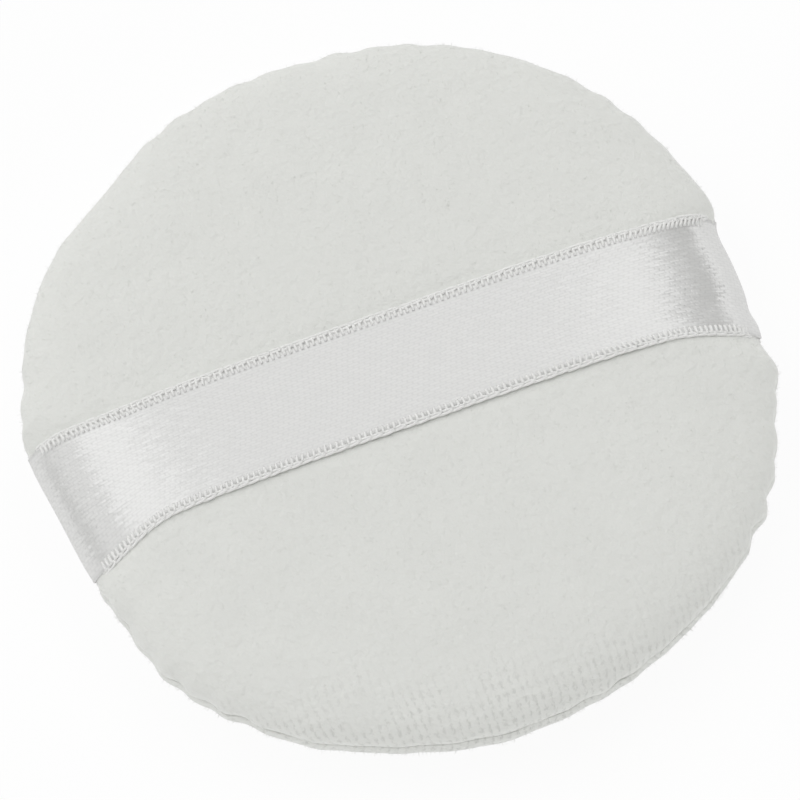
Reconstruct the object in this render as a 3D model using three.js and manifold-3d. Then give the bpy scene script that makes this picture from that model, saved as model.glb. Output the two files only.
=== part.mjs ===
// Powder puff: two velour covers joined round the rim by an overlock seam and turned right side out,
// a sponge inside, and a satin ribbon over the top whose ends are caught in the seam.
// Millimetres, +Z up, the ribbon along X, the origin in the middle of the flat the puff rests on.
import * as THREE from 'three';
import { mergeVertices } from 'three/addons/utils/BufferGeometryUtils.js';
import Module from 'manifold-3d';

const wasm = await Module();
wasm.setup();

// The pad
const puffDiameter = 76.2;
const upperRise = 6.7; // seam plane to the top of the crown
const lowerDrop = 6.3; // seam plane to the lowest point of the lower crown, before it is flattened
const restFlatDepth = 0.5; // how much of the lower crown is flattened where it rests
const pillowPower = 2.7; // 2 would give elliptic sides, more gives a flatter crown and fuller sides

// Velour, and the allowance of each cover that is turned in at the seam
const clothThickness = 1;
const allowanceDepth = 5.2; // seam line to raw edge
const seamDrawIn = 0.9; // how far the seam pulls the sides in
const seamDrawHeight = 1.8; // how far above and below the seam that reaches
const clearance = 0.3; // between pieces that touch in the real puff

// Ribbon
const ribbonWidth = 12.7;
const ribbonThickness = 0.4;
const selvedgeWidth = 0.9;
const selvedgeThickness = 0.7;
const ribbonTailInset = 0.4; // raw edge of the covers to the ribbon's cut end
const ribbonBendRadius = 1.3; // where it comes out of the seam and turns up
const ribbonLift = 0.9; // extra height over the middle of the crown
const leftPull = 2.9; // how far the taut ribbon draws the rim in, left and right
const rightPull = 3.3;
const pullReach = 13; // along the rim from the ribbon's middle
const pullPower = 3; // above 2 the pull is even over the ribbon's width and fades faster beyond it

// Overlock seam
const stitchPitch = 6;
const threadDiameter = 0.36;
const needleInset = 2.6; // seam line to the row of needle holes
const hookReach = 0.5; // how far the looper threads pass beyond the needle row
const bightWidth = 0.9; // each looper loop where it turns at the raw edge
const bightGap = 0.8; // between the middles of the upper and lower loops there
const closingLength = 24; // of the gap left for turning, sewn up by hand
const stitchCorner = 0.35; // how far a stitch rounds its corners
const tailShare = 0.3; // of a stitch, left at each end of a thread

// Facets
const rimSegments = 40;
const outsideSteps = 10;
const insideSteps = 6;
const arcCrowding = 1.35; // above 1 sets the points of an arc closer together near the seam
const ribbonSteps = 14;
const ribbonBendSteps = 4;
const threadSides = 5;
const holeSides = 5;
const cutOverrun = 1;

const puffRadius = puffDiameter / 2;
const seamHeight = lowerDrop - restFlatDepth;
const seamRadius = puffRadius - seamDrawIn;
const rawEdgeRadius = seamRadius - allowanceDepth;
const needleRadius = seamRadius - needleInset;
const threadRadius = threadDiameter / 2;

// Heights above the seam plane, the same below it
const allowanceInner = clearance / 2;
const allowanceOuter = allowanceInner + clothThickness;
const looperLevel = allowanceOuter + clearance + threadRadius;
const needleLevel = looperLevel + threadDiameter + clearance;
const spongeLip = needleLevel + threadRadius + clearance;

// How far the ribbon draws the rim in at an angle round the puff
function rimPull(angle) {
  const fromRight = Math.abs(Math.atan2(Math.sin(angle), Math.cos(angle)));
  const fromLeft = Math.PI - fromRight;
  const fade = (turn) => Math.exp(-(((turn * puffRadius) / pullReach) ** pullPower));
  return rightPull * fade(fromRight) + leftPull * fade(fromLeft);
}

function pulledRadius(radius, angle) {
  return radius - rimPull(angle) * (radius / puffRadius) ** 2;
}

// A point by its radius in the unpulled puff, its angle, and its height above the seam plane
function onPuff(radius, angle, rise) {
  const r = pulledRadius(radius, angle);
  return new THREE.Vector3(r * Math.cos(angle), r * Math.sin(angle), seamHeight + rise);
}

// Half section of a pillow from one height down to another: a superellipse
function pillowArc(radius, rise, highest, lowest, steps) {
  const turnAt = (height) => Math.acos(Math.min(1, height / rise) ** (pillowPower / 2));
  const first = turnAt(highest);
  const last = turnAt(lowest);
  const points = [new THREE.Vector2(0, highest)];
  for (let i = first > 0 ? 0 : 1; i <= steps; i++) {
    const turn = last - (last - first) * (1 - i / steps) ** arcCrowding;
    const r = radius * Math.sin(turn) ** (2 / pillowPower);
    points.push(new THREE.Vector2(r, rise * Math.cos(turn) ** (2 / pillowPower)));
  }
  return points;
}

// The sides dip in towards the seam
function drawnIn(point) {
  const nearness = Math.max(0, 1 - point.y / seamDrawHeight);
  return new THREE.Vector2(point.x - seamDrawIn * nearness ** 2, point.y);
}

// Half section of a cover, in height from the seam plane: outside, allowance, inside
function coverSection(rise, flatRise) {
  const outside = pillowArc(puffRadius, rise, flatRise, allowanceInner, outsideSteps);
  const inside = pillowArc(
    puffRadius - clothThickness,
    rise - clothThickness,
    flatRise - clothThickness,
    allowanceOuter,
    insideSteps,
  );
  return [
    ...outside.map(drawnIn),
    new THREE.Vector2(rawEdgeRadius, allowanceInner),
    new THREE.Vector2(rawEdgeRadius, allowanceOuter),
    ...inside.map(drawnIn).reverse(),
  ];
}

// Half section of the sponge: it fills both covers and is notched round the rim for the seam
function spongeSection() {
  const inset = clothThickness + clearance;
  const notchRadius = rawEdgeRadius - threadDiameter - 2 * clearance;
  const half = (rise, flatRise) =>
    pillowArc(puffRadius - inset, rise - inset, flatRise - inset, spongeLip, insideSteps);
  const top = half(upperRise, upperRise);
  const bottom = half(lowerDrop, seamHeight).map((p) => new THREE.Vector2(p.x, -p.y));
  return [
    ...top,
    new THREE.Vector2(notchRadius, spongeLip),
    new THREE.Vector2(notchRadius, -spongeLip),
    ...bottom.reverse(),
  ];
}

// Turns a half section round the Z axis, then lets the ribbon draw its rim in
function revolve(section, upward) {
  const points = section.map((p) => new THREE.Vector2(p.x, upward * p.y));
  if (upward > 0) points.reverse();
  const geometry = new THREE.LatheGeometry(points, rimSegments).rotateX(Math.PI / 2);
  const position = geometry.getAttribute('position');
  for (let i = 0; i < position.count; i++) {
    const x = position.getX(i);
    const y = position.getY(i);
    const angle = Math.atan2(y, x);
    const placed = onPuff(Math.hypot(x, y), angle, position.getZ(i));
    position.setXYZ(i, placed.x, placed.y, placed.z);
  }
  return geometry;
}

// A closed geometry as a solid that can be joined and cut
function solidOf(geometry) {
  const bare = geometry.clone();
  bare.deleteAttribute('normal');
  bare.deleteAttribute('uv');
  const merged = mergeVertices(bare);
  return new wasm.Manifold(
    new wasm.Mesh({
      numProp: 3,
      vertProperties: merged.getAttribute('position').array,
      triVerts: new Uint32Array(merged.index.array),
    }),
  );
}

function geometryOf(solid) {
  const mesh = solid.getMesh();
  const geometry = new THREE.BufferGeometry();
  geometry.setAttribute('position', new THREE.BufferAttribute(mesh.vertProperties, mesh.numProp));
  geometry.setIndex(new THREE.BufferAttribute(mesh.triVerts, 1));
  const flat = geometry.toNonIndexed();
  flat.computeVertexNormals();
  return flat;
}

// Needle holes stand round the rim at an even pitch, none on the ribbon's middle
const stitchCount = 2 * Math.round((Math.PI * needleRadius) / stitchPitch);
const stitchTurn = (2 * Math.PI) / stitchCount;
const closingCount = Math.round(closingLength / stitchPitch);
const firstClosing = Math.round(stitchCount / 4 - closingCount / 2);
const holeAngle = (index) => (index + 0.5) * stitchTurn;

function needleHoles() {
  const radius = threadRadius + clearance;
  const height = 2 * (allowanceOuter + cutOverrun);
  let holes = null;
  for (let i = 0; i < stitchCount; i++) {
    const at = onPuff(needleRadius, holeAngle(i), 0);
    const hole = new THREE.CylinderGeometry(radius, radius, height, holeSides)
      .rotateX(Math.PI / 2)
      .translate(at.x, at.y, at.z);
    holes = holes ? holes.add(solidOf(hole)) : solidOf(hole);
  }
  return holes;
}

// Room for the ribbon's tails between the two allowances, open to the outside
function ribbonPockets() {
  const inner = rawEdgeRadius - Math.max(leftPull, rightPull) - cutOverrun;
  const outer = puffRadius + cutOverrun;
  const width = ribbonWidth + 2 * clearance;
  const height = selvedgeThickness + 2 * clearance;
  const pocket = (side) =>
    solidOf(
      new THREE.BoxGeometry(outer - inner, width, height).translate(
        (side * (outer + inner)) / 2,
        0,
        seamHeight,
      ),
    );
  return pocket(1).add(pocket(-1));
}

// The ribbon's middle line from the crown out and into the seam, on one side, in X and Z
function ribbonSide(side) {
  const angle = side > 0 ? 0 : Math.PI;
  const standOff = clearance + selvedgeThickness / 2;
  const over = pillowArc(
    puffRadius + standOff,
    upperRise + standOff,
    upperRise + standOff,
    ribbonBendRadius,
    ribbonSteps,
  );
  const line = over.map((p) => {
    const lift = ribbonLift * (1 - (p.x / (puffRadius + standOff)) ** 2) ** 2;
    return new THREE.Vector2(p.x, p.y + lift);
  });
  const bendMiddle = line[line.length - 1].x - ribbonBendRadius;
  for (let i = 1; i <= ribbonBendSteps; i++) {
    const turn = (Math.PI / 2) * (i / ribbonBendSteps);
    const r = bendMiddle + ribbonBendRadius * Math.cos(turn);
    line.push(new THREE.Vector2(r, ribbonBendRadius * (1 - Math.sin(turn))));
  }
  line.push(new THREE.Vector2(rawEdgeRadius + ribbonTailInset, 0));
  return line.map((p) => {
    const placed = onPuff(p.x, angle, p.y);
    return new THREE.Vector2(placed.x, placed.z);
  });
}

// A strip of even thickness along a line in X and Z, its width along Y about a given middle
function strip(line, thickness, width, middle) {
  const half = thickness / 2;
  const offset = (sign) =>
    line.map((point, i) => {
      const before = line[Math.max(0, i - 1)];
      const after = line[Math.min(line.length - 1, i + 1)];
      const along = after.clone().sub(before).normalize();
      return new THREE.Vector2(point.x - sign * half * along.y, point.y + sign * half * along.x);
    });
  const outline = new THREE.Shape([...offset(1), ...offset(-1).reverse()]);
  return new THREE.ExtrudeGeometry(outline, { depth: width, bevelEnabled: false })
    .rotateX(Math.PI / 2)
    .translate(0, middle + width / 2, 0);
}

function ribbonSolid() {
  const left = ribbonSide(-1).reverse();
  const line = [...left, ...ribbonSide(1).slice(1)];
  const edge = (ribbonWidth - selvedgeWidth) / 2;
  return solidOf(strip(line, ribbonThickness, ribbonWidth, 0))
    .add(solidOf(strip(line, selvedgeThickness, selvedgeWidth, edge)))
    .add(solidOf(strip(line, selvedgeThickness, selvedgeWidth, -edge)));
}

// A path in straight runs from knot to knot, sampled at the knots themselves
class KnotPath extends THREE.Curve {
  constructor(knots) {
    super();
    this.knots = knots;
  }

  getPoint(t, target = new THREE.Vector3()) {
    const along = t * (this.knots.length - 1);
    const i = Math.min(Math.floor(along), this.knots.length - 2);
    return target.copy(this.knots[i]).lerp(this.knots[i + 1], along - i);
  }

  getUtoTmapping(u) {
    return u;
  }
}

function thread(knots) {
  const section = new THREE.Shape();
  for (let i = 0; i < threadSides; i++) {
    const turn = (2 * Math.PI * i) / threadSides;
    const x = threadRadius * Math.cos(turn);
    const y = threadRadius * Math.sin(turn);
    if (i === 0) section.moveTo(x, y);
    else section.lineTo(x, y);
  }
  return new THREE.ExtrudeGeometry(section, {
    extrudePath: new KnotPath(knots),
    steps: knots.length - 1,
    bevelEnabled: false,
  });
}

// A running stitch through a run of needle holes, over and under the two allowances by turns
function runningStitch(first, count, level) {
  const corner = stitchCorner / needleRadius;
  const tail = tailShare * stitchTurn;
  const at = (angle, rise) => onPuff(needleRadius, angle, rise);
  const knots = [at(holeAngle(first) - tail, level)];
  for (let i = 0; i < count; i++) {
    const angle = holeAngle(first + i);
    const side = i % 2 === 0 ? 1 : -1;
    knots.push(at(angle - corner, side * level));
    knots.push(at(angle, side * (level - stitchCorner)));
    knots.push(at(angle, -side * (level - stitchCorner)));
    knots.push(at(angle + corner, -side * level));
  }
  const lastSide = count % 2 === 0 ? 1 : -1;
  knots.push(at(holeAngle(first + count - 1) + tail, lastSide * level));
  return knots;
}

// A looper thread lies on one face of the allowances: it hooks under the needle thread between
// holes and turns down over the raw edge level with each hole
function looperStitch(first, count, side) {
  const tipRadius = needleRadius + hookReach;
  const edgeRadius = rawEdgeRadius - clearance - threadRadius;
  const halfBight = bightWidth / 2;
  const bightRise = bightGap / 2;
  const knots = [];
  const tip = (angle) => {
    knots.push(onPuff(tipRadius, angle - stitchCorner / tipRadius, side * looperLevel));
    knots.push(onPuff(tipRadius, angle + stitchCorner / tipRadius, side * looperLevel));
  };
  tip(holeAngle(first) - tailShare * stitchTurn);
  for (let i = 0; i < count; i++) {
    const angle = holeAngle(first + i);
    const turn = halfBight / edgeRadius;
    knots.push(onPuff(edgeRadius, angle - turn, side * looperLevel));
    knots.push(onPuff(edgeRadius, angle - turn, side * bightRise));
    knots.push(onPuff(edgeRadius, angle + turn, side * bightRise));
    knots.push(onPuff(edgeRadius, angle + turn, side * looperLevel));
    tip(angle + stitchTurn * (i === count - 1 ? tailShare : 0.5));
  }
  return knots;
}

const velour = { color: 0xdedfdb, roughness: 1, metalness: 0 };
const satin = { color: 0xececea, roughness: 0.4, metalness: 0 };
const sponge = { color: 0xf3efe2, roughness: 1, metalness: 0 };
const cotton = { color: 0xf4f4f1, roughness: 0.8, metalness: 0 };

const puff = new THREE.Group();

function addPiece(name, geometry, finish) {
  const mesh = new THREE.Mesh(geometry, new THREE.MeshStandardMaterial(finish));
  mesh.name = name;
  puff.add(mesh);
}

const holes = needleHoles();
const pockets = ribbonPockets();

function cover(rise, flatRise, upward) {
  const shell = solidOf(revolve(coverSection(rise, flatRise), upward));
  return geometryOf(shell.subtract(pockets).subtract(holes));
}

addPiece('upper_cover', cover(upperRise, upperRise, 1), velour);
addPiece('lower_cover', cover(lowerDrop, seamHeight, -1), velour);
addPiece('foam_core', revolve(spongeSection(), 1), sponge);
addPiece('ribbon_handle', geometryOf(ribbonSolid().subtract(holes)), satin);

const seamFirst = firstClosing + closingCount;
const seamStitches = stitchCount - closingCount;
addPiece('needle_thread', thread(runningStitch(seamFirst, seamStitches, needleLevel)), cotton);
addPiece('upper_looper_thread', thread(looperStitch(seamFirst, seamStitches, 1)), cotton);
addPiece('lower_looper_thread', thread(looperStitch(seamFirst, seamStitches, -1)), cotton);
addPiece('closing_thread', thread(runningStitch(firstClosing, closingCount, looperLevel)), cotton);

export default puff;
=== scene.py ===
import math
from functools import partial

import bpy
import numpy as np
from mathutils import Matrix, Vector


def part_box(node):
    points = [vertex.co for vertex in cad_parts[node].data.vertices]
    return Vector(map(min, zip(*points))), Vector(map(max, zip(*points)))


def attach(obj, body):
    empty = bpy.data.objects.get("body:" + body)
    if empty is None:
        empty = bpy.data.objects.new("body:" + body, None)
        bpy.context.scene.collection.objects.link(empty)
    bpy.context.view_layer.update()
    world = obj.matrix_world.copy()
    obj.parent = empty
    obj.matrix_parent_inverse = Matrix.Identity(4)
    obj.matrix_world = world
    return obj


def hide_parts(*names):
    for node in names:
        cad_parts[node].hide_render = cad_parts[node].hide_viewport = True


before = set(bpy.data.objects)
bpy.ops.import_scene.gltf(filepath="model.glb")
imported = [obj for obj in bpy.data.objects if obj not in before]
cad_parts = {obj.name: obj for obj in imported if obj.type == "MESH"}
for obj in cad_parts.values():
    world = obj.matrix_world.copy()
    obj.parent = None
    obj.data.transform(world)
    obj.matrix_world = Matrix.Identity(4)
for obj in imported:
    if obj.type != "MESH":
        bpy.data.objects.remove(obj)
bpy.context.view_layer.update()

bl_info = {
    "name": "Powder puff",
    "version": (1, 0, 0),
    "blender": (4, 5, 0),
    "location": "3D View > Sidebar > Powder puff",
    "description": "A round velour powder puff with a satin ribbon over the top",
    "category": "Add Mesh",
}

MM = 0.001
TURN = 2 * math.pi
SEED = 7

UPPER_LOW, UPPER_HIGH = (Vector(corner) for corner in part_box("upper_cover"))
LOWER_HIGH = Vector(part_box("lower_cover")[1])
RIBBON_LOW, RIBBON_HIGH = (Vector(corner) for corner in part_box("ribbon_handle"))
SEAM_HEIGHT = (UPPER_LOW.z + LOWER_HIGH.z) / 2
UPPER_RISE = UPPER_HIGH.z - SEAM_HEIGHT


def linear(colour):
    """Turn an sRGB hex colour into the linear RGB that the shaders take."""
    parts = [int(colour[i:i + 2], 16) / 255 for i in (1, 3, 5)]
    return tuple(c / 12.92 if c <= 0.04045 else ((c + 0.055) / 1.055) ** 2.4 for c in parts)


def length(name, millimetres, description):
    return bpy.props.FloatProperty(
        name=name, default=millimetres * MM, description=description, unit="LENGTH", precision=5
    )


def ratio(name, default, description):
    return bpy.props.FloatProperty(name=name, default=default, description=description)


def number(name, default, description):
    return bpy.props.IntProperty(name=name, default=default, description=description)


def colour(name, default, description):
    return bpy.props.FloatVectorProperty(
        name=name, default=linear(default), description=description, subtype="COLOR", min=0, max=1
    )


class PadSizes(bpy.types.PropertyGroup):
    radius: length("Radius", 38.1, "Middle to rim, before the seam draws it in")
    lower_drop: length("Lower drop", 6.3, "Seam to the lowest point of the lower crown")
    power: ratio("Fullness", 2.7, "2 gives elliptic sides, more gives fuller ones")
    cloth: length("Cloth", 1, "Thickness of the velour with its pile")
    allowance: length("Allowance", 5.2, "Seam line to the raw edge that is turned in")
    draw_in: length("Draw in", 0.35, "How far the seam draws the sides in")
    draw_height: length("Draw height", 1.8, "How far above and below the seam that reaches")
    fold: length("Fold", 0.22, "Radius of the fold beside the seam")
    seam_gap: length("Seam gap", 0.05, "Half of the gap between the folds at the seam")
    press_gap: length("Press gap", 0.1, "Between the ribbon and the pile that it presses down")
    press_fade: length("Press fade", 2.6, "Beside the ribbon, how far that dip goes")
    nap: length("Nap", 0.1, "How uneven the pile makes the surface")
    nap_size: length("Nap size", 1.1, "Width of an uneven spot")
    pucker: length("Pucker", 0.16, "Height of the puckers beside the seam")
    pucker_reach: length("Pucker reach", 3.2, "How far from the seam the puckers run")
    clearance: length("Clearance", 0.3, "Between the cover and what it holds")


class StitchSizes(bpy.types.PropertyGroup):
    count: number("Stitches", 72, "Stitches round the rim")
    closing: number("Closing stitches", 8, "Of these, sewn by hand to close the cover")
    thread: length("Thread", 0.3, "Thickness of the sewing thread")
    needle_inset: length("Needle row", 2.6, "Raw edge to the row of needle holes")


class RibbonSizes(bpy.types.PropertyGroup):
    width: length("Width", (RIBBON_HIGH.y - RIBBON_LOW.y) / MM, "Width with both selvedges")
    thickness: length("Thickness", 0.2, "Thickness of the woven satin")
    stand_off: length("Stand-off", 0.27, "Velour to the ribbon at the rim")
    lift: length("Lift", 0.18, "Height over the middle of the crown")
    power: ratio("Fullness", 4.0, "As for the pad")
    sunk: length("Sunk", 10.7, "How far below the seam its curve would be upright")
    conform: ratio("Conform", 0.7, "Share of the reach where it starts to follow the rim")
    tail: length("Tail", 0.4, "Raw edge of the covers to the ribbon's cut end")
    selvedge: length("Selvedge", 0.95, "Width of each looped selvedge")
    yarn: length("Selvedge yarn", 0.32, "Diameter of the yarn in the selvedges")
    pick: length("Pick", 0.58, "Distance between the weft loops at the selvedge")


class ClothSizes(bpy.types.PropertyGroup):
    wale: length("Wale", 0.86, "Distance between the ribs of the knitted ground")
    course: length("Course", 1.35, "Distance between the rows of gaps in the knit")
    pile: length("Pile clump", 0.9, "Width of a clump of pile")
    warp: length("Warp", 0.28, "Distance between the satin's warp yarns")
    satin_float: length("Float", 1.13, "Length of a warp yarn between two crossings")
    fibre: length("Fibre", 0.55, "Length of the pile fibres that stand proud")
    fibre_width: length("Fibre width", 0.03, "Coarser than a real fibre, so that it shows")
    fibres: number("Fibres", 9000, "Loose fibres on each cover")


class PuffColours(bpy.types.PropertyGroup):
    velour: colour("Velour", "#E2E3DF", "Off-white cotton velour")
    satin: colour("Satin", "#D9D9D7", "White polyester satin without its gloss")
    yarn: colour("Selvedge yarn", "#F0F0EE", "White polyester yarn")
    sponge: colour("Sponge", "#EFE9D8", "Cream polyurethane foam")
    thread: colour("Thread", "#F2F2EF", "White spun polyester thread")
    floor: colour("Floor", "#FAFAFA", "Pale studio floor")


# Form of the pad


ARC_STEPS = 400
FOLD_STEPS = 40


def pillow_arc(radius, rise, highest, lowest, power):
    """Half section of a pillow from one height to another: a superellipse, axis first."""
    first = math.acos(min(1.0, highest / rise) ** (power / 2))
    last = math.acos(min(1.0, lowest / rise) ** (power / 2))
    turns = np.linspace(first, last, ARC_STEPS)
    arc = np.column_stack([radius * np.sin(turns) ** (2 / power), rise * np.cos(turns) ** (2 / power)])
    return arc if first == 0 else np.vstack([[0.0, highest], arc])


def drawn_in(points, pad):
    """The sides dip in towards the seam."""
    nearness = np.clip(1 - points[:, 1] / pad.draw_height, 0, 1)
    return np.column_stack([points[:, 0] - pad.draw_in * nearness**2, points[:, 1]])


def arc_lengths(points):
    return np.concatenate([[0], np.cumsum(np.linalg.norm(np.diff(points, axis=0), axis=1))])


def along_line(distances, lengths, line):
    """The columns of a line's points, read at distances along it."""
    return [np.interp(distances, lengths, column) for column in line.T]


class Profile:
    """A half section that is read by the distance along it."""

    def __init__(self, points):
        self.points = points
        self.lengths = arc_lengths(points)
        self.total = self.lengths[-1]
        self.fold_at = self.total

    def at(self, distances):
        """Radius and height."""
        return along_line(distances, self.lengths, self.points)


def cover_profiles(pad, rise, flat_rise):
    """Outside, fold, allowance and inside of a cover, in height from the seam plane."""
    lean = math.atan2(2 * pad.draw_in, pad.draw_height)
    fold_start = pad.seam_gap + pad.fold * (1 - math.sin(lean))
    outside = drawn_in(pillow_arc(pad.radius, rise, flat_rise, fold_start, pad.power), pad)
    middle = outside[-1] + pad.fold * np.array([-math.cos(lean), math.sin(lean)])
    turns = np.linspace(lean, math.pi / 2, FOLD_STEPS)
    fold = middle + pad.fold * np.column_stack([np.cos(turns), -np.sin(turns)])
    raw_edge = fold[-1, 0] - pad.allowance
    outer = Profile(np.vstack([outside, fold[1:]]))
    outer.fold_at = outer.lengths[len(outside) - 1]
    allowance_top = pad.seam_gap + pad.cloth
    radius, height, flat = (size - pad.cloth for size in (pad.radius, rise, flat_rise))
    inside = drawn_in(pillow_arc(radius, height, flat, allowance_top, pad.power), pad)
    turned_in = np.array([fold[-1], [raw_edge, pad.seam_gap]])
    edge = np.array([[raw_edge, pad.seam_gap], [raw_edge, allowance_top]])
    inner = np.vstack([[[raw_edge, allowance_top]], inside[::-1]])
    return outer, Profile(turned_in), Profile(edge), Profile(inner)


def waves(angle, lowest, highest, count, random):
    """A wavy line that closes on itself round the rim, about 1 high."""
    total = np.zeros_like(angle)
    for _ in range(count):
        around = random.integers(lowest, highest + 1)
        total += np.cos(around * angle + random.uniform(0, TURN))
    return total * math.sqrt(2 / count)


# Where the rim is drawn in, or bulges out where the depth is below 0: angle in degrees,
# depth and reach along the rim in millimetres, steepness
RIM_DENTS = (
    (2, 1.5, 5.6, 6),
    (3, 1.3, 20, 3),
    (-10, 1.1, 3.6, 4),
    (189.5, 2.25, 12, 3),
    (160, 0.25, 3, 2),
    (172, 0.3, 18, 2),
    (98, 0.45, 19, 3),
    (84, 0.25, 5, 2),
    (124, 0.9, 6, 2),
    (62, -0.1, 7, 2),
    (252, 0.4, 26, 3),
    (236, -0.3, 3, 2),
    (265, -0.3, 5, 2),
    (296, 0.25, 8, 2),
    (335, 0.35, 4, 2),
    (13, -0.15, 2, 4),
    (-15.5, -0.4, 2.2, 4),
    (165.5, -0.35, 2.2, 4),
    (196.5, -0.3, 2.2, 4),
)
# Where the lower cover bulges out below the seam
LOWER_BULGES = (
    (281, 0.1, 7, 2),
    (262, 0.25, 8, 2),
)
# Where the seam runs higher or lower, with the rise in place of the depth
SEAM_RISES = (
    (268, 0.9, 13, 2),
    (196, -0.6, 9, 2),
    (-13, -0.6, 8, 2),
)


def along_rim(features, angle, pad):
    """Sum of the features at an angle round the puff."""
    total = np.zeros_like(angle)
    for at, size, reach, steepness in features:
        turn = (angle - math.radians(at) + math.pi) % TURN - math.pi
        total += size * MM * np.exp(-(np.abs(turn * pad.radius / (reach * MM)) ** steepness))
    return total


# A higher number keeps the seam's rises nearer to the rim
SEAM_POWER = 5
# Fewest and most waves round the rim, and how many of them add up: puckers, and their strength
PUCKER_WAVES = (34, 74, 16)
STRENGTH_WAVES = (3, 12, 6)
STRENGTH_SHARE = 0.45
# How far the two covers pucker together, as the seam pulls both
PUCKERS_SHARED = 0.8


def seam_puckers(angle, side):
    random = np.random.default_rng(SEED + 1)
    both = waves(angle, *PUCKER_WAVES, random)
    strength = 1 + STRENGTH_SHARE * waves(angle, *STRENGTH_WAVES, random)
    own = waves(angle, *PUCKER_WAVES, np.random.default_rng(SEED + 3 + side))
    return (PUCKERS_SHARED * both + (1 - PUCKERS_SHARED) * own) * strength


def smoothstep(values, low, high):
    share = np.clip((values - low) / (high - low), 0, 1)
    return share**2 * (3 - 2 * share)


def ribbon_arc(ribbon, pad):
    """Half of the ribbon's middle line, from the top to the seam: radius and height over the seam."""
    top = UPPER_RISE + ribbon.lift + ribbon.sunk
    arc = pillow_arc(1, top, top, ribbon.sunk, ribbon.power)
    arc[:, 0] *= (pad.radius + ribbon.stand_off) / arc[-1, 0]
    arc[:, 1] -= ribbon.sunk
    return arc


# How far the ribbon's edges spread where its ends are sewn down: near edge, far edge
LEFT_FLARES = (2.0 * MM, 0.8 * MM)
RIGHT_FLARES = (0.9 * MM, 0.5 * MM)


def flared(right, far):
    """How far an edge of the ribbon spreads at one of its ends."""
    at_left = np.where(far, LEFT_FLARES[1], LEFT_FLARES[0])
    at_right = np.where(far, RIGHT_FLARES[1], RIGHT_FLARES[0])
    return np.where(right, at_right, at_left)


def follows_rim(radius, ribbon, pad):
    """How far the ribbon follows the curve of the rim: 0 in the middle, 1 at its ends."""
    return smoothstep(radius / (pad.radius + ribbon.stand_off), ribbon.conform, 1)


def under_ribbon(radius, angle, pad):
    """1 under the ribbon, falling to 0 beside it."""
    ribbon = bpy.context.scene.puff_ribbon
    across = radius * np.sin(angle)
    follows = follows_rim(radius, ribbon, pad)
    edge = ribbon.width / 2 + flared(np.cos(angle) > 0, across > 0) * follows
    return 1 - smoothstep(np.abs(across), edge, edge + pad.press_fade)


# Greatest share by which the crown swells up to the ribbon where it isn't pressed down
SWELL = 0.08


def pressed_share(radius, angle, pad):
    """Share of the crown's height under the ribbon, where the pile fits itself to it."""
    ribbon = bpy.context.scene.puff_ribbon
    along = np.abs(radius * np.cos(angle))
    arc = ribbon_arc(ribbon, pad)
    reached = along + (radius - along) * follows_rim(radius, ribbon, pad)
    under = np.interp(reached, arc[:, 0], arc[:, 1])
    under -= ribbon.thickness / 2 + pad.press_gap
    crown = pillow_arc(pad.radius, UPPER_RISE, UPPER_RISE, 0, pad.power)
    height = np.maximum(np.interp(radius, crown[:, 0], crown[:, 1]), pad.cloth)
    return 1 - under_ribbon(radius, angle, pad) * np.clip(1 - under / height, -SWELL, 1)


def on_puff(radius, rise, angle, pad, pucker=0):
    """A place by its radius in the unpulled puff, its height above the seam plane and its angle."""
    share = radius / pad.radius
    below = smoothstep(-rise, 0, pad.draw_height)
    out = radius - along_rim(RIM_DENTS, angle, pad) * share**2 + pucker
    out = out + along_rim(LOWER_BULGES, angle, pad) * share**SEAM_POWER * below
    fall = np.where(rise > 0, pressed_share(radius, angle, pad), 1)
    z = SEAM_HEIGHT + rise * fall + along_rim(SEAM_RISES, angle, pad) * share**SEAM_POWER
    return np.column_stack([out * np.cos(angle), out * np.sin(angle), z])


# Meshes


def unit(vectors):
    """A table of vectors, each made 1 long."""
    return vectors / np.linalg.norm(vectors, axis=1)[:, None]


def rings(side, other, sides):
    """The unit circle between each pair of upright directions, as that many points."""
    turns = circle(sides)[None, :, None]
    return side[:, None] * np.cos(turns) + other[:, None] * np.sin(turns)


def circle(sides):
    return np.arange(sides) * (TURN / sides)


def steps_after(start, end, count):
    """Even steps from one value to another, the first left out."""
    return np.linspace(start, end, count + 1)[1:]


def faces_of(*corners):
    """Faces from a table for each of their corners, in order."""
    return list(np.column_stack([table.ravel() for table in corners]))


def make_object(name, points, faces):
    mesh = bpy.data.meshes.new(name)
    mesh.from_pydata([tuple(p) for p in points], [], [tuple(int(i) for i in f) for f in faces])
    mesh.validate()
    mesh.shade_smooth()
    piece = bpy.data.objects.new(name, mesh)
    bpy.context.scene.collection.objects.link(piece)
    return piece


def subdivide(piece):
    finer = piece.modifiers.new("finer", "SUBSURF")
    finer.levels = finer.render_levels = 1


def apply_modifiers(piece):
    bpy.ops.object.select_all(action="DESELECT")
    bpy.context.view_layer.objects.active = piece
    piece.select_set(True)
    for modifier in list(piece.modifiers):
        bpy.ops.object.modifier_apply(modifier=modifier.name)
    piece.select_set(False)


def disc_grid(cells):
    """Square grid laid on a disc: for each point its distance from 0 to 1 and its angle."""
    steps = np.linspace(-1, 1, cells + 1)
    a, b = np.meshgrid(steps, steps, indexing="ij")
    a, b = a.ravel(), b.ravel()
    wide = np.abs(a) >= np.abs(b)
    safe_a = np.where(wide & (a != 0), a, 1)
    safe_b = np.where(~wide, b, 1)
    across = math.pi / 4 * b / safe_a + np.where(a < 0, math.pi, 0)
    along = math.pi / 2 - math.pi / 4 * a / safe_b + np.where(b < 0, math.pi, 0)
    return np.maximum(np.abs(a), np.abs(b)), np.where(wide, across, along)


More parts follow.
